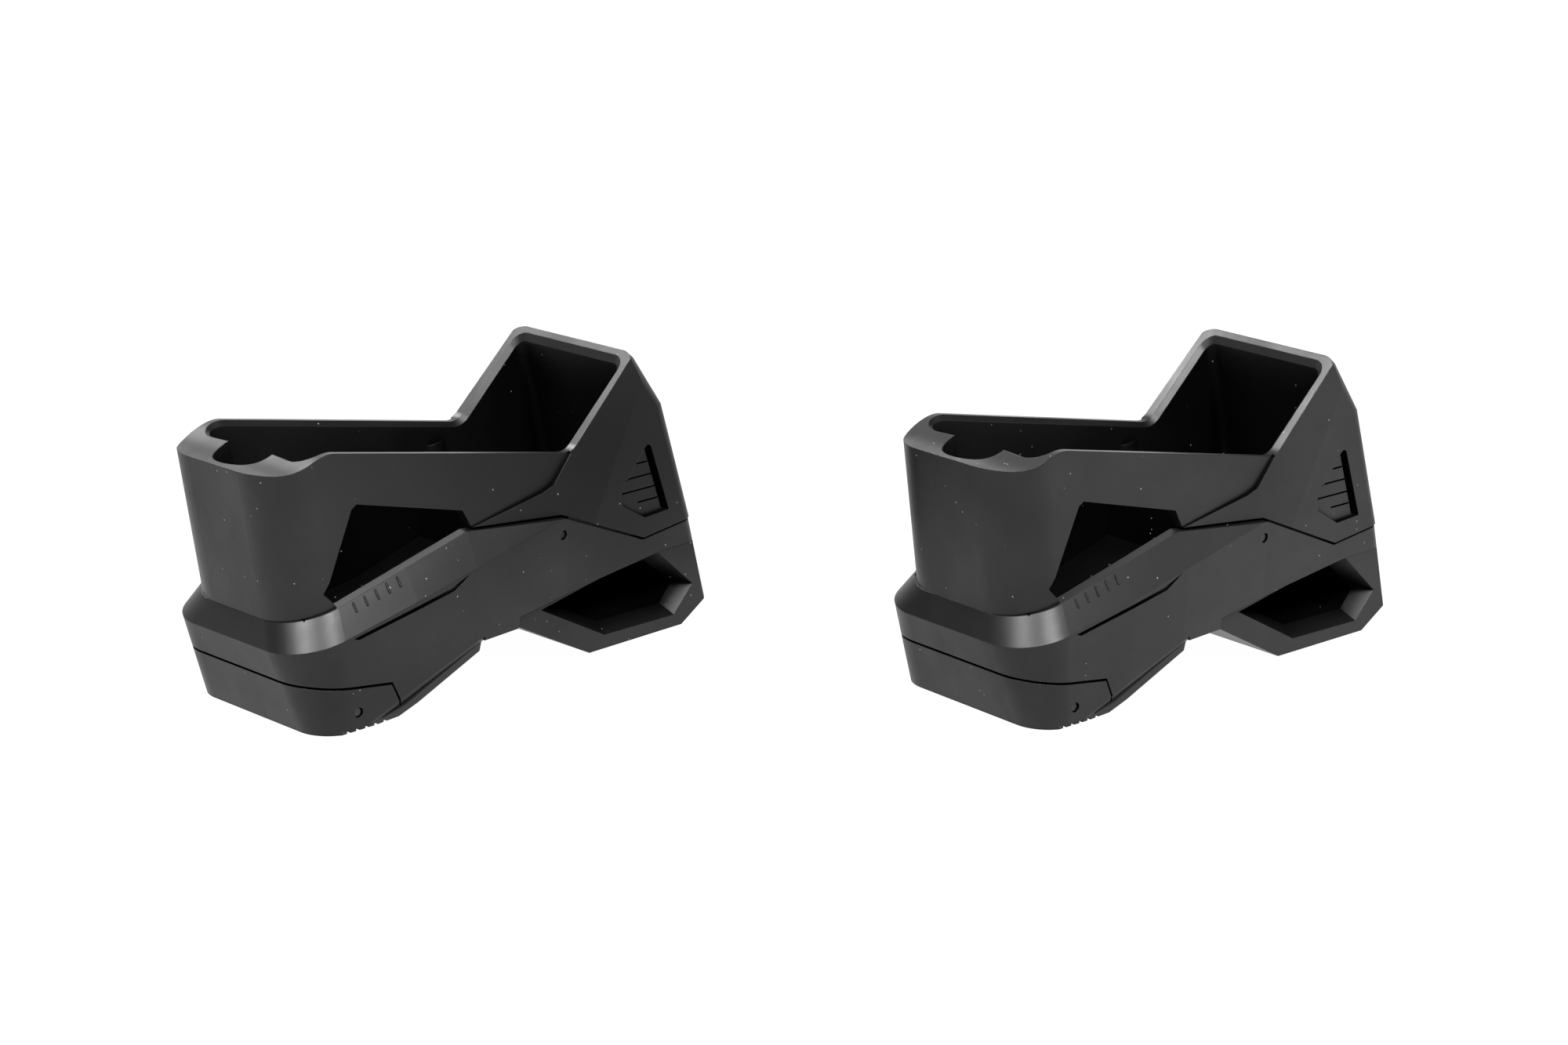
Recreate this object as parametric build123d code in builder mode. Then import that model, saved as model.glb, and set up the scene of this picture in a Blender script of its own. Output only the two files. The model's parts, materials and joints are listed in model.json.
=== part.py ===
"""A pair of moulded slip-on guards: open-topped sleeve, lower frame with a grip, end cap.

Each guard is drawn in its own frame, in millimetres: X runs along the guard from the capped heel to
the grip, Y across it, Z up from the surface that it stands on, with X = 0 close to the cap's bottom
edge. It is the same on both sides of the plane Y = 0. Two guards then stand side by side.
"""

from build123d import *
import os

# ---------------------------------------------------------------------------------------------
# Driving dimensions (mm, degrees); outlines are (x, z) points in the side view
# ---------------------------------------------------------------------------------------------
WALL = 2.4                  # moulded wall of the sleeve
SLEEVE_HALF = 17.6          # half the width of the tube and of the side strips
CAVITY_HALF = SLEEVE_HALF - WALL
SEAM_GAP = 0.5              # open joint line between two mouldings
FIT = 0.15                  # play between parts that plug into each other
REACH = 30.0                # more than half the width, for cuts that go right through
TALL = 40.0                 # more than the sleeve's height above the frame

# Sleeve, from the heel's top round to the foot of the end face
HEEL_TOP = (-10.4, 51.5)
HEEL_FLAT_END = (-7.4, 51.4)
RIM_LEFT = (4.4, 54.05)
RIM_CORNER = (62.9, 42.8)
RIM_FILLET = 4.0
PEAK = (80.9, 60.2)
END_SHOULDER = (82.5, 58.8)
END_RIDGE_TOP = (89.1, 48.3)
END_FOOT_X = 96.1
HEEL_FOOT = (-5.9, 21.9)
HEEL_RADIUS = 10.0
END_RADIUS = 2.6            # of the end face's two upright corners, on sleeve and frame
END_TOP_RADIUS = 4.2        # of the same corners where they reach the rim

# Joint line between sleeve and frame, from the window to the end face
SEAM_WINDOW = (35.4, 32.55)
SEAM_PEAK = (59.6, 30.45)
SEAM_VALLEY = (81.5, 21.2)
SEAM_END = (98.0, 22.95)

# Lower frame, cap and grip
CREASE_SLOPE = 0.205        # rise of the crease along the frame, per mm of x
CREASE_AT_ZERO = 18.64
SHELF_HALF = 18.3           # half width at the shelf, above the bevel
CREASE_HALF = 22.0          # half width at the crease, below the bevel
GRIP_HALF = 18.4            # half width of the grip's faces
CAP_SEAM_LEFT = (-12.0, 11.8)
CAP_SEAM_TURN = (13.7, 8.0)
CAP_SEAM_FOOT = (16.0, 3.4)
PAD_TOP = [(2.0, 0.9), (12.1, 1.0), (17.2, 2.1), (36.8, 10.3)]
PAD_SOLE = [(36.3, 8.5), (20.6, 1.9), (15.8, 0.3), (10.0, 0.0), (2.0, 0.0)]
GRIP_HEEL = (47.2, 10.6)
GRIP_SOLE_LEFT = (67.2, 0.0)
GRIP_SOLE_RIGHT = (93.4, 0.0)
GRIP_TIP = (101.2, 4.8)
BAND_TIP = (87.0, 17.8)
PIN_RADIUS = 1.0
FRAME_PIN_AT = (58.9, 27.2)
CAP_PIN_AT = (5.5, 3.9)

# Where the two guards stand: (x, y, turn about Z)
LEFT_PLACE = (0.0, 0.0, 0.0)
RIGHT_PLACE = (100.5, -93.2, -5.93)

os.makedirs("parts", exist_ok=True)


def line_z(start, end, x):
    """Height at x of the straight line through two (x, z) points."""
    return start[1] + (end[1] - start[1]) * (x - start[0]) / (end[0] - start[0])


def crease_z(x):
    """Height at x of the crease between the frame's bevel and its flank."""
    return CREASE_AT_ZERO + CREASE_SLOPE * x


def shelf_z(x):
    """Height at x of the shelf that the sleeve stands on."""
    return line_z(HEEL_FOOT, SEAM_WINDOW, x)


def side_prism(points, half, above=None):
    """A prism of a side-view outline, from -half to half across the guard, or its part above a plane."""
    with BuildPart() as prism:
        with BuildSketch(Plane.XZ):
            with BuildLine():
                Polyline(*points, close=True)
            make_face()
        extrude(amount=half, both=True)
        if above:
            split(bisect_by=above, keep=Keep.TOP)
    return prism.part


def face_plane(first, second, third):
    """Plane through three (x, half width, z) points on the near flank, facing outwards."""
    p1, p2, p3 = (Vector(x, -half, z) for x, half, z in (first, second, third))
    normal = (p2 - p1).cross(p3 - p1)
    if normal.Y > 0:
        normal = -normal
    return Plane(origin=p1, x_dir=p2 - p1, z_dir=normal)


def mirrored(plane):
    """The same plane on the far flank."""
    o, x, n = plane.origin, plane.x_dir, plane.z_dir
    return Plane(origin=(o.X, -o.Y, o.Z), x_dir=(x.X, -x.Y, x.Z), z_dir=(n.X, -n.Y, n.Z))


# ---------------------------------------------------------------------------------------------
# Outer form that frame and cap are both cut from
# ---------------------------------------------------------------------------------------------
HEEL_BLOCK_END = 20.0       # the heel block's lofted corners end here; the band carries on


def heel_section(x_left, half, radius, height_at_zero, slope):
    """Plan outline of the heel block on a plane that climbs along X, round at its left corners."""
    stretch = (1 + slope**2) ** 0.5
    plane = Plane(origin=(0, 0, height_at_zero), x_dir=(1, 0, slope), z_dir=(-slope, 0, 1))
    with BuildSketch(plane) as outline:
        with Locations(((x_left + HEEL_BLOCK_END) / 2 * stretch, 0)):
            Rectangle((HEEL_BLOCK_END - x_left) * stretch, 2 * half)
        fillet(outline.vertices().group_by(Axis.X)[0], radius)
    return outline.sketch.face()


def band_section(x, shelf, crease, sole):
    """Cross outline of the band at x; each argument is its half width and height."""
    with BuildSketch(Plane(origin=(x, 0, 0), x_dir=(0, 1, 0), z_dir=(1, 0, 0))) as outline:
        with BuildLine():
            Polyline(
                shelf,
                crease,
                sole,
                (-sole[0], sole[1]),
                (-crease[0], crease[1]),
                (-shelf[0], shelf[1]),
                close=True,
            )
        make_face()
    return outline.sketch.face()


SOLE_HALF = 21.0            # half width of the cap's bottom
SOLE_LEFT = -2.4
SOLE_RADIUS = 7.5
CREASE_LEFT = -8.0
CREASE_RADIUS = 10.5
shelf_rise = (SEAM_WINDOW[1] - HEEL_FOOT[1]) / (SEAM_WINDOW[0] - HEEL_FOOT[0])
with BuildPart() as heel_block:
    loft(
        [
            heel_section(SOLE_LEFT, SOLE_HALF, SOLE_RADIUS, 0.0, 0.0),
            heel_section(CREASE_LEFT, CREASE_HALF, CREASE_RADIUS, CREASE_AT_ZERO, CREASE_SLOPE),
            heel_section(HEEL_FOOT[0], SHELF_HALF, HEEL_RADIUS, shelf_z(0), shelf_rise),
        ],
        ruled=True,
    )

with BuildPart() as band_block:
    loft(
        [
            band_section(
                HEEL_BLOCK_END,
                (SHELF_HALF, shelf_z(HEEL_BLOCK_END)),
                (CREASE_HALF, crease_z(HEEL_BLOCK_END)),
                (SOLE_HALF, 0.0),
            ),
            band_section(
                SEAM_WINDOW[0],
                (SHELF_HALF, SEAM_WINDOW[1]),
                (21.5, crease_z(SEAM_WINDOW[0])),
                (20.7, 0.0),
            ),
            band_section(60.0, (19.3, 33.5), (20.2, crease_z(60.0)), (19.0, 0.0)),
            band_section(104.0, (18.4, 33.0), (19.0, 30.9), (18.6, 0.0)),
        ],
        ruled=True,
    )

flank_bevel = face_plane((8.0, 21.0, 0.8), (37.0, 20.6, 10.7), (17.2, 19.7, 2.1))
bevel_zone = [(6.0, -1.0), (37.3, -1.0), (37.3, 12.0), (6.0, 12.0)]
with BuildPart() as envelope:
    add(heel_block.part)
    add(band_block.part)
    # bevel along the lower edge of each flank, narrowing to the right
    add(side_prism(bevel_zone, REACH, above=flank_bevel), mode=Mode.SUBTRACT)
    add(side_prism(bevel_zone, REACH, above=mirrored(flank_bevel)), mode=Mode.SUBTRACT)

# ---------------------------------------------------------------------------------------------
# Lower frame: flange, band, joint line and grip in one moulding
# ---------------------------------------------------------------------------------------------
frame_outline = [
    (-12.0, shelf_z(-12.0)),
    SEAM_WINDOW,
    SEAM_PEAK,
    SEAM_VALLEY,
    (END_FOOT_X, line_z(SEAM_VALLEY, SEAM_END, END_FOOT_X)),
    GRIP_TIP,
    GRIP_SOLE_RIGHT,
    GRIP_SOLE_LEFT,
    GRIP_HEEL,
    (PAD_TOP[3][0] + 0.5, PAD_TOP[3][1] + 0.2),
    PAD_TOP[3],
    (CAP_SEAM_FOOT[0] + 0.8, PAD_TOP[2][1]),
    CAP_SEAM_FOOT,
    CAP_SEAM_TURN,
    CAP_SEAM_LEFT,
]
grip_zone = [BAND_TIP, (47.0, 13.0), (44.0, -5.0), (110.0, -5.0), (110.0, 17.8)]
pocket_outer = [(54.2, 12.2), (71.4, 2.9), (91.2, 2.6), (96.6, 8.2), (86.6, 17.2), (70.0, 15.2)]
pocket_inner = [(58.4, 12.0), (72.2, 4.9), (90.2, 4.6), (93.8, 8.8), (85.6, 14.9), (70.0, 13.8)]
POCKET_BEVEL = 3.4         # of the bevel around the grip's pockets
WEB_HALF = 1.5              # the web that parts the two pockets
HOLLOW_HALF = 16.0          # half width of the hollow under the sleeve
frame_hollow = [(-2.6, 28.0), (-2.6, 14.2), (13.0, 12.0), (36.0, 15.6), (52.0, 20.5), (52.0, 36.0)]
TONGUE_LEFT = 55.0          # the sleeve's two tongues, which the frame pin holds
TONGUE_RIGHT = 63.0
TONGUE_FOOT = 23.6
TONGUE_TOP = 34.0           # rooted in the sleeve's wall
TONGUE_INNER = CAVITY_HALF - 0.6
TONGUE_OUTER = 17.2
slot_outline = [
    (TONGUE_LEFT - FIT, 36.0),
    (TONGUE_LEFT - FIT, TONGUE_FOOT - FIT),
    (TONGUE_RIGHT + FIT, TONGUE_FOOT - FIT),
    (TONGUE_RIGHT + FIT, 36.0),
]
groove_outline = [(4.3, 19.0), (5.6, 18.5), (29.4, 22.7), (34.1, 25.5), (28.5, 23.4)]
GROOVE_FLOOR = 21.2         # half width left at the bottom of the flank's long groove
TICK_COUNT = 5
TICK_FIRST_X = 6.68
TICK_PITCH = 2.68
TICK_WIDTH = 0.38
TICK_PROUD = 0.22           # height above the bevel
TICK_ROOT = 0.4             # depth that a tick is rooted in the bevel
TICK_TOP_SHARE = 0.08       # where a tick starts and ends, as shares of the bevel's height
TICK_FOOT_SHARE = 0.39
cap_tongue = [(1.6, 11.0), (1.6, 2.2), (9.4, 2.2), (9.4, 11.0)]
CAP_TONGUE_HALF = 14.0


def runs_along(edge, start, end):
    """Whether an edge lies on a flank, along the side-view line between two (x, z) points."""
    ends = (edge @ 0, edge @ 1)
    on_line = all(abs(point.Z - line_z(start, end, point.X)) < 0.05 for point in ends)
    between = all(start[0] - 0.1 < point.X < end[0] + 0.1 for point in ends)
    return on_line and between and abs(ends[0].Y - ends[1].Y) < 1.0


def bevel_point(x, share, proud):
    """(y, z) on the near bevel of the heel, a share of the way from shelf to crease, lifted off it."""
    drop = shelf_z(x) - crease_z(x)
    spread = CREASE_HALF - SHELF_HALF
    length = (drop**2 + spread**2) ** 0.5
    half = SHELF_HALF + share * spread + proud * drop / length
    return (half, shelf_z(x) - share * drop + proud * spread / length)


with BuildPart() as lower_frame:
    add(envelope.part)
    add(side_prism(frame_outline, REACH), mode=Mode.INTERSECT)
    # round upright corners below the end face
    fillet(lower_frame.edges().filter_by(lambda e: runs_along(e, frame_outline[4], GRIP_TIP)), END_RADIUS)
    # faces of the grip, set back from the band's flank
    for side in (-1, 1):
        with BuildSketch(Plane.XZ.offset(side * GRIP_HALF)):
            with BuildLine():
                Polyline(*grip_zone, close=True)
            make_face()
        extrude(amount=side * REACH, mode=Mode.SUBTRACT)
    # a bevelled fingertip pocket in each face of the grip, with a web between them
    for side in (-1, 1):
        with BuildSketch(Plane.XZ.offset(side * WEB_HALF)):
            with BuildLine():
                Polyline(*pocket_inner, close=True)
            make_face()
        extrude(amount=side * REACH, mode=Mode.SUBTRACT)
        with BuildSketch(Plane.XZ.offset(side * GRIP_HALF)):
            with BuildLine():
                Polyline(*pocket_outer, close=True)
            make_face()
        with BuildSketch(Plane.XZ.offset(side * (GRIP_HALF - POCKET_BEVEL))):
            with BuildLine():
                Polyline(*pocket_inner, close=True)
            make_face()
        loft(ruled=True, mode=Mode.SUBTRACT)
    # hollow under the sleeve, and the tongue that reaches down into the cap
    add(side_prism(frame_hollow, HOLLOW_HALF), mode=Mode.SUBTRACT)
    add(side_prism(cap_tongue, CAP_TONGUE_HALF))
    # slots for the sleeve's two tongues, and the holes for both cross pins
    for side in (-1, 1):
        with BuildSketch(Plane.XZ.offset(side * (TONGUE_INNER - FIT))):
            with BuildLine():
                Polyline(*slot_outline, close=True)
            make_face()
        extrude(amount=side * (TONGUE_OUTER - TONGUE_INNER + 2 * FIT), mode=Mode.SUBTRACT)
    with BuildSketch(Plane.XZ):
        with Locations(FRAME_PIN_AT, CAP_PIN_AT):
            Circle(PIN_RADIUS)
    extrude(amount=REACH, both=True, mode=Mode.SUBTRACT)
    # long groove along each flank, and the row of raised ticks on each bevel
    for side in (-1, 1):
        with BuildSketch(Plane.XZ.offset(side * GROOVE_FLOOR)):
            with BuildLine():
                Polyline(*groove_outline, close=True)
            make_face()
        extrude(amount=side * REACH, mode=Mode.SUBTRACT)
    for count in range(TICK_COUNT):
        tick_x = TICK_FIRST_X + count * TICK_PITCH
        corners = [
            bevel_point(tick_x, TICK_TOP_SHARE, -TICK_ROOT),
            bevel_point(tick_x, TICK_TOP_SHARE, TICK_PROUD),
            bevel_point(tick_x, TICK_FOOT_SHARE, TICK_PROUD),
            bevel_point(tick_x, TICK_FOOT_SHARE, -TICK_ROOT),
        ]
        for side in (-1, 1):
            with BuildSketch(Plane(origin=(tick_x, 0, 0), x_dir=(0, 1, 0), z_dir=(1, 0, 0))):
                with BuildLine():
                    Polyline(*[(side * y, z) for y, z in corners], close=True)
                make_face()
            extrude(amount=TICK_WIDTH)
lower_frame.part.label = "lower_frame"

# ---------------------------------------------------------------------------------------------
# End cap under the heel
# ---------------------------------------------------------------------------------------------
cap_outline = [
    (CAP_SEAM_LEFT[0], CAP_SEAM_LEFT[1] - SEAM_GAP),
    (CAP_SEAM_TURN[0] - 0.2, CAP_SEAM_TURN[1] - SEAM_GAP),
    (CAP_SEAM_FOOT[0] - SEAM_GAP, CAP_SEAM_FOOT[1]),
    (CAP_SEAM_FOOT[0] + 0.4, PAD_TOP[2][1] - 0.1),
    PAD_TOP[1],
    PAD_TOP[0],
    (PAD_TOP[0][0], 0.0),
    (-12.0, 0.0),
]
cap_pocket = [(1.6 - FIT, 12.0), (1.6 - FIT, 2.2 - FIT), (9.4 + FIT, 2.2 - FIT), (9.4 + FIT, 12.0)]
with BuildPart() as end_cap:
    add(envelope.part)
    add(side_prism(cap_outline, REACH), mode=Mode.INTERSECT)
    add(side_prism(cap_pocket, CAP_TONGUE_HALF + FIT), mode=Mode.SUBTRACT)
    with BuildSketch(Plane.XZ):
        with Locations(CAP_PIN_AT):
            Circle(PIN_RADIUS)
    extrude(amount=REACH, both=True, mode=Mode.SUBTRACT)
end_cap.part.label = "end_cap"

# ---------------------------------------------------------------------------------------------
# Sole pad with its treads
# ---------------------------------------------------------------------------------------------
PAD_HALF = 20.4
TREAD_COUNT = 5
TREAD_FIRST_X = 3.6
TREAD_PITCH = 2.2
TREAD_DEPTH = 0.585
with BuildPart() as sole_pad:
    add(side_prism(PAD_TOP + PAD_SOLE, PAD_HALF))
    with BuildSketch(Plane.XZ):
        for count in range(TREAD_COUNT):
            with Locations((TREAD_FIRST_X + count * TREAD_PITCH, 0.0)):
                RegularPolygon(TREAD_DEPTH, 4, rotation=45)
    extrude(amount=REACH, both=True, mode=Mode.SUBTRACT)
sole_pad.part.label = "sole_pad"

# ---------------------------------------------------------------------------------------------
# Upper sleeve
# ---------------------------------------------------------------------------------------------
seam_lift = [(x, z + SEAM_GAP) for x, z in (SEAM_WINDOW, SEAM_PEAK, SEAM_VALLEY, SEAM_END)]
END_FOOT = (END_FOOT_X, line_z(seam_lift[2], seam_lift[3], END_FOOT_X))


def sleeve_side():
    """Side view of the whole sleeve, from heel to end face."""
    with BuildSketch(Plane.XZ) as side_view:
        with BuildLine():
            Line(HEEL_FOOT, HEEL_TOP)
            Line(HEEL_TOP, HEEL_FLAT_END)
            Spline(HEEL_FLAT_END, RIM_LEFT, tangents=[(1, 0), (1, -0.1)])
            Polyline(
                RIM_LEFT, RIM_CORNER, PEAK, END_SHOULDER, END_RIDGE_TOP, END_FOOT,
                seam_lift[2], seam_lift[1], seam_lift[0], SEAM_WINDOW, HEEL_FOOT,
            )
        make_face()
        corners = side_view.vertices()
        corner = corners.sort_by(lambda v: abs(v.X - RIM_CORNER[0]) + abs(v.Z - RIM_CORNER[1]))[0]
        fillet(corner, RIM_FILLET)
    return side_view.sketch.face()


shoulder_facet = face_plane(
    (RIM_CORNER[0], 18.2, RIM_CORNER[1]),
    (PEAK[0], 17.6, PEAK[1]),
    (66.0, 19.4, 28.5),
)
BOX_LEFT = (55.2, 36.3)
box_zone = [
    SEAM_WINDOW,
    BOX_LEFT,
    (58.0, 37.3),
    RIM_CORNER,
    (RIM_CORNER[0], 70.0),
    (110.0, 70.0),
    (110.0, 10.0),
    (SEAM_WINDOW[0], 10.0),
]

TUBE_END_X = 66.0           # the plain tube ends inside the end box
tube_zone = [(-20.0, 0.0), (TUBE_END_X, 0.0), (TUBE_END_X, 80.0), (-20.0, 80.0)]
cavity = [(-1.9, 56.0), (4.4, 19.0), (88.0, 19.0), (85.0, 35.1), (82.4, 46.6), (77.6, 64.0)]
CAVITY_HEEL_RADIUS = 3.6
CAVITY_END_RADIUS = 2.0
window = [
    (8.1, 42.5),
    (9.3, 43.25),
    (35.1, 36.7),
    (37.4, 32.7),
    (37.0, 29.0),
    (6.0, 22.0),
    (3.2, 25.2),
    (1.1, 27.4),
    (2.4, 29.4),
]
LEAN = (-0.15, 0, 1)
HEEL_POCKET_RADIUS = 6.7
HEEL_POCKET_FOOT = (2.8, 0, 21.0)

with BuildPart() as cavity_form:
    with BuildSketch(Plane.XZ):
        with BuildLine():
            Polyline(*cavity, close=True)
        make_face()
    extrude(amount=CAVITY_HALF, both=True)
    for radius, at_heel in ((CAVITY_HEEL_RADIUS, True), (CAVITY_END_RADIUS, False)):
        upright = cavity_form.edges().filter_by(lambda e: abs((e @ 0).Z - (e @ 1).Z) > 9 and e.length < 60)
        fillet(upright.filter_by(lambda e: (e.center().X < TUBE_END_X) == at_heel), radius)

with BuildPart() as heel_pocket_form:
    with BuildSketch(Plane(origin=HEEL_POCKET_FOOT, z_dir=LEAN)):
        Circle(HEEL_POCKET_RADIUS)
    extrude(amount=TALL)

RIB_FOOT = (58.8, 18.0)     # rounded guide rib inside each side wall
RIB_LENGTH = 22.0
RIB_RADIUS = 4.0
RIB_PROUD = 0.8
RIB_LEAN = (-0.12, 0, 1)
LEAD_IN = 1.0               # bevel inside the rim
vent_outline = [(82.7, 40.4), (75.2, 32.0), (75.9, 29.5), (82.0, 25.8), (88.8, 26.2)]
vent_slot = [(82.6, 40.3), (83.6, 40.9), (84.4, 40.4), (88.9, 26.2), (87.4, 26.6)]
VENT_FLOOR = 18.5           # half width left under the vent's louvres
VENT_SLOT_FLOOR = 16.8
LOUVRE_LINES = [(37.3, 80.4, 83.6), (34.5, 76.8, 84.7), (31.7, 76.5, 85.6), (29.1, 80.8, 86.4)]
LOUVRE_GAP = 0.36
NOTCH_HEIGHTS = (43.3, 36.3, 28.3)
NOTCH_RADIUS = 0.75


BOX_HALF = 19.6             # half width of the end box at the valley of the joint line
BOX_TAPER_X = 0.016         # how much narrower it gets, per mm to the right and per mm up
BOX_TAPER_Z = 0.044


def box_half(x, z):
    """Half width of the end box's flank: it spreads a little towards its foot."""
    return BOX_HALF - BOX_TAPER_X * (x - SEAM_VALLEY[0]) - BOX_TAPER_Z * (z - SEAM_VALLEY[1])


def box_section(x_end, z, radius):
    """Plan outline of the end box at one height, round at the end face's two corners."""
    start = SEAM_WINDOW[0] - 5.0
    with BuildSketch(Plane.XY.offset(z)) as outline:
        with BuildLine():
            Polyline(
                (start, -box_half(start, z)),
                (x_end, -box_half(x_end, z)),
                (x_end, box_half(x_end, z)),
                (start, box_half(start, z)),
                close=True,
            )
        make_face()
        fillet(outline.vertices().group_by(Axis.X)[-1], radius)
    return outline.sketch.face()


end_face = [
    (PEAK[0] - 1.8, PEAK[1] + 1.6, END_TOP_RADIUS),
    (END_SHOULDER[0] + 0.2, END_SHOULDER[1], END_TOP_RADIUS),
    (*END_RIDGE_TOP, END_RADIUS),
    (*END_FOOT, END_RADIUS),
    (END_FOOT[0] + 1.4, 18.0, END_RADIUS),
]
with BuildPart() as box_form:
    loft([box_section(x, z, radius) for x, z, radius in end_face], ruled=True)
    add(side_prism(box_zone, REACH), mode=Mode.INTERSECT)
    extrude(sleeve_side(), amount=REACH, both=True, mode=Mode.INTERSECT)
    split(bisect_by=shoulder_facet, keep=Keep.BOTTOM)
    split(bisect_by=mirrored(shoulder_facet), keep=Keep.BOTTOM)

with BuildPart() as rib_form:
    for side in (-1, 1):
        axis_y = side * (CAVITY_HALF + RIB_RADIUS - RIB_PROUD)
        rib_plane = Plane(origin=(RIB_FOOT[0], axis_y, RIB_FOOT[1]), z_dir=RIB_LEAN)
        with BuildSketch(rib_plane):
            Circle(RIB_RADIUS)
        extrude(amount=RIB_LENGTH)

with BuildPart() as cavity_with_ribs:
    add(cavity_form.part)
    add(rib_form.part, mode=Mode.SUBTRACT)


def on_rim(point):
    """Whether a point lies on the top of the side strips or of the sloping rim."""
    if point.X < RIM_LEFT[0] - 0.1 or abs(point.Y) > CAVITY_HALF + 0.01:
        return False
    strip = line_z(RIM_LEFT, RIM_CORNER, point.X)
    slope = line_z(RIM_CORNER, PEAK, point.X)
    return min(abs(point.Z - strip), abs(point.Z - slope)) < 0.02 or (
        abs(point.X - RIM_CORNER[0]) < RIM_FILLET and point.Z - max(strip, slope) < 1.5 and point.Z > strip
    )


with BuildPart() as upper_sleeve:
    extrude(sleeve_side(), amount=SLEEVE_HALF, both=True)
    heel_height = HEEL_TOP[1] - SEAM_WINDOW[1]
    upright = upper_sleeve.edges().filter_by(lambda e: abs((e @ 0).Z - (e @ 1).Z) > heel_height)
    fillet(upright.sort_by(lambda e: e.center().X)[0:2], HEEL_RADIUS)
    add(side_prism(tube_zone, REACH), mode=Mode.INTERSECT)
    add(box_form.part)
    # tongues into the frame
    for side in (-1, 1):
        with BuildSketch(Plane.XZ.offset(side * TONGUE_INNER)):
            with BuildLine():
                Polyline(
                    (TONGUE_LEFT, TONGUE_TOP),
                    (TONGUE_LEFT, TONGUE_FOOT),
                    (TONGUE_RIGHT, TONGUE_FOOT),
                    (TONGUE_RIGHT, TONGUE_TOP),
                    close=True,
                )
            make_face()
        extrude(amount=side * (TONGUE_OUTER - TONGUE_INNER))
    add(cavity_with_ribs.part, mode=Mode.SUBTRACT)
    add(heel_pocket_form.part, mode=Mode.SUBTRACT)
    rim_edges = upper_sleeve.edges().filter_by(lambda e: on_rim(e @ 0) and on_rim(e @ 1) and on_rim(e @ 0.5))
    rim_edges = rim_edges.filter_by(lambda e: (e @ 0.5).X < PEAK[0] - 0.5)
    chamfer(rim_edges, LEAD_IN)
    add(side_prism(window, REACH), mode=Mode.SUBTRACT)
    # louvred vent in each flank
    for side in (-1, 1):
        for outline, floor in ((vent_outline, VENT_FLOOR), (vent_slot, VENT_SLOT_FLOOR)):
            with BuildSketch(Plane.XZ.offset(side * floor)):
                with BuildLine():
                    Polyline(*outline, close=True)
                make_face()
            extrude(amount=side * REACH, mode=Mode.SUBTRACT)
        for height, left, right in LOUVRE_LINES:
            with BuildSketch(Plane.XZ.offset(side * (VENT_FLOOR - 0.6))):
                with Locations(((left + right) / 2, height)):
                    Rectangle(right - left, LOUVRE_GAP)
            extrude(amount=side * REACH, mode=Mode.SUBTRACT)
    # notches that divide the end face into ridges, and the hole for the frame pin
    with BuildSketch(Plane.XZ):
        for height in NOTCH_HEIGHTS:
            share = (height - END_RIDGE_TOP[1]) / (END_FOOT[1] - END_RIDGE_TOP[1])
            with Locations((END_RIDGE_TOP[0] + share * (END_FOOT[0] - END_RIDGE_TOP[0]) + 0.15, height)):
                Circle(NOTCH_RADIUS)
        with Locations(FRAME_PIN_AT):
            Circle(PIN_RADIUS)
    extrude(amount=REACH, both=True, mode=Mode.SUBTRACT)
upper_sleeve.part.label = "upper_sleeve"

# ---------------------------------------------------------------------------------------------
# Cross pins
# ---------------------------------------------------------------------------------------------
PIN_PLAY = 0.03
PIN_CHAMFER = 0.2
FRAME_PIN_HALF = 19.7
CAP_PIN_HALF = 20.8
with BuildPart() as frame_pin:
    with BuildSketch(Plane.XZ):
        with Locations(FRAME_PIN_AT):
            Circle(PIN_RADIUS - PIN_PLAY)
    extrude(amount=FRAME_PIN_HALF, both=True)
    chamfer(frame_pin.edges().filter_by(GeomType.CIRCLE), PIN_CHAMFER)
frame_pin.part.label = "frame_pin"

with BuildPart() as cap_pin:
    with BuildSketch(Plane.XZ):
        with Locations(CAP_PIN_AT):
            Circle(PIN_RADIUS - PIN_PLAY)
    extrude(amount=CAP_PIN_HALF, both=True)
    chamfer(cap_pin.edges().filter_by(GeomType.CIRCLE), PIN_CHAMFER)
cap_pin.part.label = "cap_pin"

# ---------------------------------------------------------------------------------------------
# Two guards side by side, the pair centred on the origin
# ---------------------------------------------------------------------------------------------
pieces = [upper_sleeve.part, lower_frame.part, end_cap.part, sole_pad.part, frame_pin.part, cap_pin.part]
standing = {
    guard: Pos(x, y, 0) * Rot(0, 0, turn)
    for guard, (x, y, turn) in (("left", LEFT_PLACE), ("right", RIGHT_PLACE))
}
everything = Compound([place * piece for place in standing.values() for piece in pieces])
middle = everything.bounding_box().center()
for guard, place in standing.items():
    for piece in pieces:
        placed = Pos(-middle.X, -middle.Y, 0) * place * piece
        placed.label = f"{piece.label}_{guard}"
        export_step(placed, f"parts/{placed.label}.step")
        print(placed.label, len(placed.solids()), round(placed.volume), placed.is_valid)
print("centre", middle, everything.bounding_box())
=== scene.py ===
"""Looks for a pair of moulded slip-on guards: softened plastic mouldings, studio light, camera."""

import json
import math

import bmesh
import bpy
from mathutils import Matrix, Vector


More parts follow.
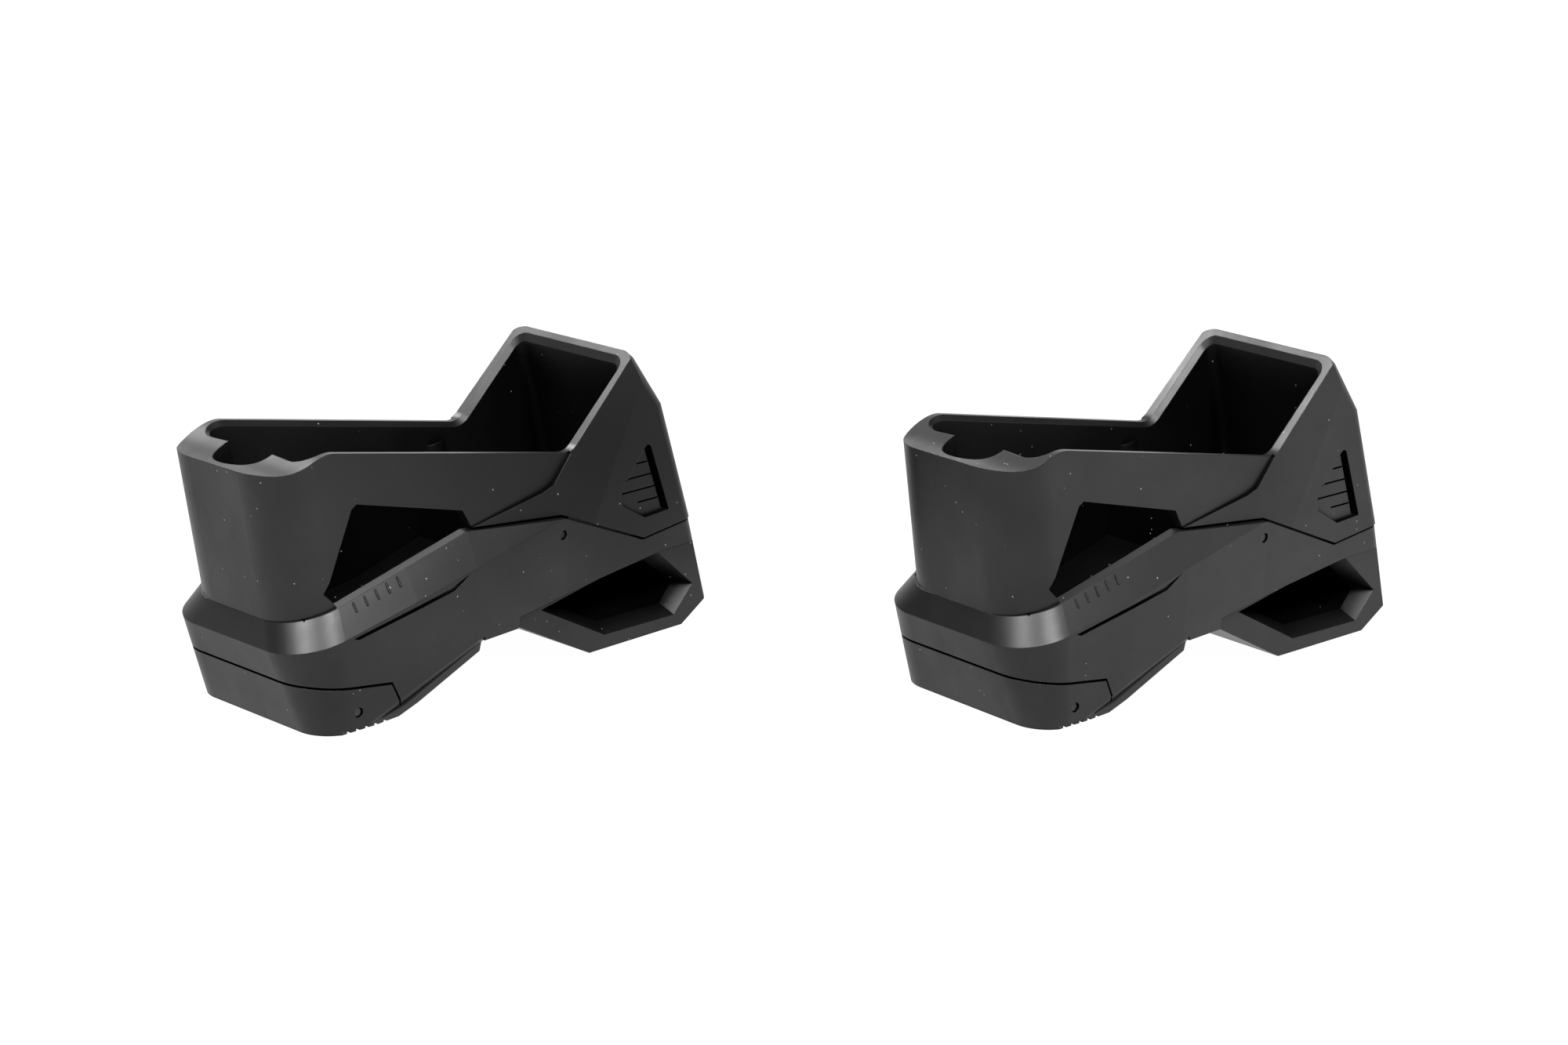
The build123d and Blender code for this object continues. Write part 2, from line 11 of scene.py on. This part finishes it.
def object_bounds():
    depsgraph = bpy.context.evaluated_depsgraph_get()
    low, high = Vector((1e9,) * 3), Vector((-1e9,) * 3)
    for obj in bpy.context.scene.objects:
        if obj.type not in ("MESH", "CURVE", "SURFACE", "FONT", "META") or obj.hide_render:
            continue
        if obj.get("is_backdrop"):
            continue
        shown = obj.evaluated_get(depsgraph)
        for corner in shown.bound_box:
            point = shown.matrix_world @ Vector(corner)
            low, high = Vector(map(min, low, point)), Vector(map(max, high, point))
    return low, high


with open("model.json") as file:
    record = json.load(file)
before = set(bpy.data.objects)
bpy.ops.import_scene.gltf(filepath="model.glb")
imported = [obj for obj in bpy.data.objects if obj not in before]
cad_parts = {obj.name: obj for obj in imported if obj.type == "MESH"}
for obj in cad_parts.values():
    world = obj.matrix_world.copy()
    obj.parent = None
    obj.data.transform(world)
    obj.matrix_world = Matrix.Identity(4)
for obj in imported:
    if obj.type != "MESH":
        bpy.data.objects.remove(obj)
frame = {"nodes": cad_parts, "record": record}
low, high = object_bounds()

MM = 0.001

# ---------------------------------------------------------------------------------------------
# Camera: where it stands, and its heading, downward tilt and roll in degrees
# ---------------------------------------------------------------------------------------------
CAMERA_AT = Vector((-0.4380, -0.4113, 0.2096))
HEADING = 46.45
TILT = 16.79
ROLL = 0.57
LENS = 71.98
SENSOR = 36.0


def make_camera():
    """The camera at the photograph's viewing angle."""
    heading, tilt, roll = (math.radians(angle) for angle in (HEADING, TILT, ROLL))
    right = Vector((math.cos(heading), -math.sin(heading), 0.0))
    level = math.cos(tilt)
    forward = Vector((math.sin(heading) * level, math.cos(heading) * level, -math.sin(tilt)))
    up = right.cross(forward)
    turned_right = right * math.cos(roll) + up * math.sin(roll)
    turned_up = up * math.cos(roll) - right * math.sin(roll)
    data = bpy.data.cameras.new("camera")
    data.lens = LENS
    data.sensor_width = SENSOR
    data.clip_start = 0.01
    camera = bpy.data.objects.new("camera", data)
    bpy.context.scene.collection.objects.link(camera)
    turn = Matrix((turned_right, turned_up, -forward)).transposed().to_4x4()
    camera.matrix_world = Matrix.Translation(CAMERA_AT) @ turn
    bpy.context.scene.camera = camera


make_camera()

# ---------------------------------------------------------------------------------------------
# Materials
# ---------------------------------------------------------------------------------------------
SHEEN = 0.41                # specular level of the plastic where it is open
CREVICE_REACH = 1.2 * MM    # painted shade: seams and corners narrower than this lose their sheen
INSIDE_REACH = 60.0 * MM    # painted shade: the same for the inside of a piece
EDGE_RADIUS = 0.2 * MM      # rounding of the plastic's edges
NOISE_SPAN = (0.3, 0.7)     # the part of a noise's values that is spread out
DUST_CELLS = 620.0          # cells per metre, of which a few hold a speck
SPECK_EDGE = (0.12, 0.05)   # a speck's outer and full radius, as shares of a cell
SPECK_DRAW = (0.88, 0.89)   # cells that draw a higher number hold a speck


class Nodes:
    """Short calls that add and link the nodes of one material, or of the world."""

    def __init__(self, owner, shader="Principled BSDF", place="Object"):
        owner.use_nodes = True
        self.owner = owner
        self.tree = owner.node_tree
        self.shader = self.tree.nodes[shader]
        self.place = self.add("ShaderNodeTexCoord").outputs[place]

    def add(self, kind, inputs=None, **settings):
        """A new node, with its inputs linked or set, and its settings."""
        node = self.tree.nodes.new(kind)
        for key, value in settings.items():
            setattr(node, key, value)
        for key, value in (inputs or {}).items():
            self.feed(node, key, value)
        return node

    def feed(self, node, key, value):
        """Link a socket to a node's input, or set a plain value on it."""
        if isinstance(value, bpy.types.NodeSocket):
            self.tree.links.new(value, node.inputs[key])
        else:
            node.inputs[key].default_value = value

    def noise(self, scale, detail=3.0, stretch=(1.0, 1.0, 1.0), roughness=0.5):
        """Noise at a scale, in the piece's own coordinates, which may be stretched."""
        stretched = self.add("ShaderNodeMapping", {"Vector": self.place, "Scale": stretch}).outputs[0]
        inputs = {"Vector": stretched, "Scale": scale, "Detail": detail, "Roughness": roughness}
        return self.add("ShaderNodeTexNoise", inputs).outputs["Fac"]

    def ramp(self, value, start, end, low=0.0, high=1.0, course="LINEAR"):
        """A value between start and end, spread between low and high."""
        inputs = {"Value": value, "From Min": start, "From Max": end, "To Min": low, "To Max": high}
        return self.add("ShaderNodeMapRange", inputs, interpolation_type=course).outputs[0]

    def spread(self, value, low=0.0, high=1.0):
        """A noise value spread between low and high."""
        return self.ramp(value, *NOISE_SPAN, low, high)

    def math(self, operation, first, second):
        """One operation on two numbers."""
        return self.add("ShaderNodeMath", {0: first, 1: second}, operation=operation).outputs[0]

    def openness(self, reach, own_piece, start, end):
        """How open a point is within a reach, to its own piece or to all: 0 below start, 1 above end."""
        node = self.add("ShaderNodeAmbientOcclusion", {"Distance": reach}, samples=8, only_local=own_piece)
        return self.ramp(node.outputs["AO"], start, end)

    def mix(self, share, first, second):
        """A colour between two others."""
        node = self.add("ShaderNodeMix", data_type="RGBA")
        self.feed(node, 0, share)
        self.feed(node, 6, first)
        self.feed(node, 7, second)
        return node.outputs[2]

    def bump(self, height, strength, distance, normal=None):
        """A surface direction tilted by a height, on top of another one where given."""
        inputs = {"Height": height, "Strength": strength, "Distance": distance}
        if normal is not None:
            inputs["Normal"] = normal
        return self.add("ShaderNodeBump", inputs).outputs[0]


def grey(level):
    """A neutral colour."""
    return (level, level, level, 1)


def dust(n):
    """A mask of sparse, round specks."""
    cells = n.add("ShaderNodeTexVoronoi", {"Vector": n.place, "Scale": DUST_CELLS})
    draw = n.add("ShaderNodeSeparateColor", {"Color": cells.outputs["Color"]}).outputs[0]
    return n.math("MULTIPLY", n.ramp(cells.outputs["Distance"], *SPECK_EDGE), n.ramp(draw, *SPECK_DRAW))


def polymer():
    """Black moulded plastic: fine grain, faint flow marks, dust specks, and painted shade that dulls its
    sheen in crevices and inside.
    """
    n = Nodes(bpy.data.materials.new("moulded_polymer"))
    base = n.mix(n.spread(n.noise(60.0)), (0.0009, 0.0009, 0.001, 1), (0.0016, 0.0016, 0.0017, 1))
    n.feed(n.shader, "Base Color", n.mix(dust(n), base, grey(0.2)))
    smears = n.noise(28.0, 5.0, (1.0, 2.2, 1.4), 0.6)
    n.feed(n.shader, "Roughness", n.spread(smears, 0.38, 0.49))
    rounded = n.add("ShaderNodeBevel", {"Radius": EDGE_RADIUS}, samples=6)
    grain = n.bump(n.noise(2600.0, 2.0), 0.12, 0.02 * MM, rounded.outputs[0])
    n.feed(n.shader, "Normal", n.bump(n.noise(70.0, 2.0), 0.15, 0.2 * MM, grain))
    sheen = n.spread(smears, 1.15 * SHEEN, 0.85 * SHEEN)
    # painted shade: ambient occlusion dims the specular level in seams, corners and the insides of pieces
    crevice_painted_shade = n.openness(CREVICE_REACH, False, 0.2, 0.7)
    inside_painted_shade = n.openness(INSIDE_REACH, True, 0.55, 0.8)
    n.feed(n.shader, "Specular IOR Level", n.math("MULTIPLY", sheen, n.math("MULTIPLY", crevice_painted_shade, inside_painted_shade)))
    return n.owner


def rubber():
    """Black rubber: matt, with a fine even grain."""
    n = Nodes(bpy.data.materials.new("sole_rubber"))
    n.feed(n.shader, "Base Color", n.mix(n.noise(120.0), grey(0.006), grey(0.012)))
    n.feed(n.shader, "Roughness", n.spread(n.noise(80.0), 0.62, 0.75))
    n.feed(n.shader, "Normal", n.bump(n.noise(3500.0, 2.0), 0.4, 0.03 * MM))
    return n.owner


def blackened_steel():
    """Blackened steel pins: darker and glossier than the plastic, lightly brushed."""
    n = Nodes(bpy.data.materials.new("pin_steel"))
    n.feed(n.shader, "Base Color", n.mix(n.noise(300.0), (0.03, 0.03, 0.032, 1), (0.06, 0.06, 0.062, 1)))
    n.shader.inputs["Metallic"].default_value = 0.8
    n.feed(n.shader, "Roughness", n.spread(n.noise(900.0), 0.25, 0.4))
    n.feed(n.shader, "Normal", n.bump(n.noise(1500.0, 2.0), 0.15, 0.02 * MM))
    return n.owner


def floor_paper():
    """White studio paper, itself faintly bright."""
    n = Nodes(bpy.data.materials.new("floor_paper"))
    n.feed(n.shader, "Base Color", n.mix(n.noise(9.0), grey(0.02), grey(0.03)))
    n.shader.inputs["Roughness"].default_value = 0.9
    n.shader.inputs["Emission Color"].default_value = (1, 1, 1, 1)
    n.shader.inputs["Emission Strength"].default_value = 0.99
    return n.owner


MATERIALS = {"polymer": polymer(), "rubber": rubber(), "pin": blackened_steel()}

# ---------------------------------------------------------------------------------------------
# Pieces
# ---------------------------------------------------------------------------------------------
for part in frame["record"]["subparts"]:
    for slot in frame["nodes"][part["node"]].material_slots:
        slot.material = MATERIALS[part["material_slot"]]

# ---------------------------------------------------------------------------------------------
# Floor and light: azimuths run from +X towards +Y, heights from the horizon, both in degrees
# ---------------------------------------------------------------------------------------------
FLOOR_HALF = 6.0
FLOOR_GAP = 0.0002          # left between the floor and the pair
HORIZON_FADE = (0.08, 0.24)     # upward part of a direction over which the pale horizon fades out
GLOW_CORE = 0.6             # share of a glow's half width that is fully bright
# azimuth, height, half width and strength of each soft glow: behind, to the right and to the left
GLOWS = [(44.0, 12.0, 30.0, 1.7), (-46.0, 15.0, 28.0, 1.28), (135.0, 15.0, 28.0, 0.25)]
BOX_DISTANCE = 1.2
BOX_AIM = Vector((0.0, 0.0, 0.03))
# name, azimuth, height, width and depth, and power of each soft box
SOFT_BOXES = [
    ("left_box", -168.0, 54.0, (0.20, 0.35), 20.0),
    ("front_box", -98.0, 51.0, (0.16, 0.35), 21.0),
    ("back_box", 95.0, 48.0, (0.25, 0.25), 12.0),
]


def make_floor():
    """A wide plain floor under the pair."""
    bm = bmesh.new()
    bmesh.ops.create_grid(bm, x_segments=1, y_segments=1, size=FLOOR_HALF)
    mesh = bpy.data.meshes.new("floor")
    bm.to_mesh(mesh)
    bm.free()
    floor = bpy.data.objects.new("floor", mesh)
    bpy.context.scene.collection.objects.link(floor)
    floor.location.z = low[2] - FLOOR_GAP
    mesh.materials.append(floor_paper())
    floor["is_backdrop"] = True


def make_light(name, place, size, power):
    """A soft box at a place, facing the pair."""
    data = bpy.data.lights.new(name, "AREA")
    data.shape = "RECTANGLE"
    data.size, data.size_y = size
    data.energy = power
    light = bpy.data.objects.new(name, data)
    bpy.context.scene.collection.objects.link(light)
    light.location = place
    light.rotation_euler = (place - BOX_AIM).to_track_quat("Z", "Y").to_euler()


def towards(azimuth, height):
    """The direction at an azimuth and a height."""
    azimuth, height = math.radians(azimuth), math.radians(height)
    level = math.cos(height)
    return Vector((math.cos(azimuth) * level, math.sin(azimuth) * level, math.sin(height)))


def make_world():
    """A pale horizon round a dark room, with soft glows."""
    n = Nodes(bpy.data.worlds.new("studio"), "Background", "Generated")
    n.shader.inputs["Color"].default_value = (1, 1, 1, 1)
    upward = n.add("ShaderNodeSeparateXYZ", {0: n.place}).outputs["Z"]
    strength = n.ramp(upward, *HORIZON_FADE, 1.0, 0.0, "SMOOTHSTEP")
    for azimuth, height, half_width, brightness in GLOWS:
        aim = {0: n.place, 1: towards(azimuth, height)}
        nearness = n.add("ShaderNodeVectorMath", aim, operation="DOT_PRODUCT").outputs["Value"]
        edge = math.cos(math.radians(half_width))
        core = math.cos(math.radians(GLOW_CORE * half_width))
        glow = n.ramp(nearness, edge, core, 0.0, brightness, "SMOOTHSTEP")
        strength = n.math("MAXIMUM", strength, glow)
    n.feed(n.shader, "Strength", strength)
    bpy.context.scene.world = n.owner


make_floor()
make_world()
for name, azimuth, height, size, power in SOFT_BOXES:
    make_light(name, towards(azimuth, height) * BOX_DISTANCE, size, power)
bpy.context.scene.view_settings.view_transform = "Standard"

low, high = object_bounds()
